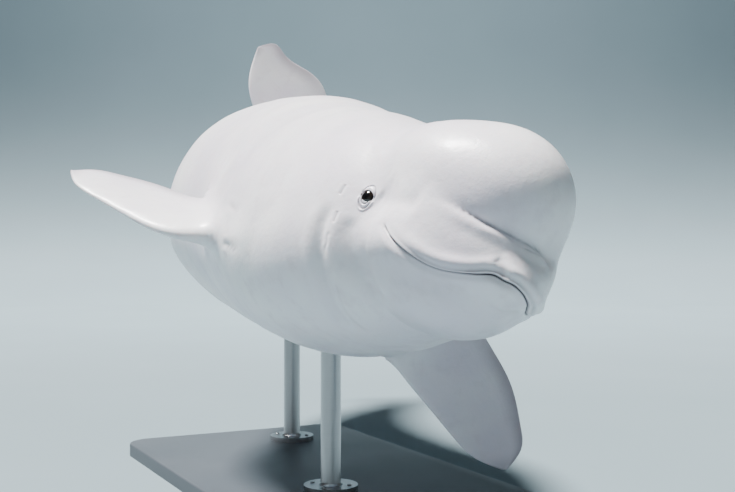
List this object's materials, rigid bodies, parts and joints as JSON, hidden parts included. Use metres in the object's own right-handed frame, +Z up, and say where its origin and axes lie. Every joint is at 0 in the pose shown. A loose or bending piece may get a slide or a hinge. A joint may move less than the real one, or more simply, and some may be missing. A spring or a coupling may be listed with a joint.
{
  "type": "beluga whale display model",
  "caption": "Life-size beluga whale in a banking turn, head, body, flippers and flukes as separate solids, held by a flat base with two upright rods",
  "frame": {"origin": "centre of the underside of the stand's base, on the floor", "axes": "+Z up, the whale's head towards -Y, its left side towards +X"},
  "size_m": [2.1125, 3.5069, 1.8041],
  "materials": {
    "whale_skin": "smooth wet-looking skin, white with a faint pink and lavender-grey shade",
    "eye": "dark polished eye",
    "plinth": "painted board with eased edges",
    "rod_steel": "brushed steel"
  },
  "bodies": {
    "root": {"head": "whale_skin", "lower_jaw": "whale_skin", "neck": "whale_skin", "chest": "whale_skin", "abdomen": "whale_skin", "tail_stock": "whale_skin", "fluke_left": "whale_skin", "fluke_right": "whale_skin", "flipper_left": "whale_skin", "flipper_right": "whale_skin", "eye_left": "eye", "eye_right": "eye", "stand_base": "plinth", "stand_rod_front": "rod_steel", "stand_rod_rear": "rod_steel"}
  },
  "joints": []
}
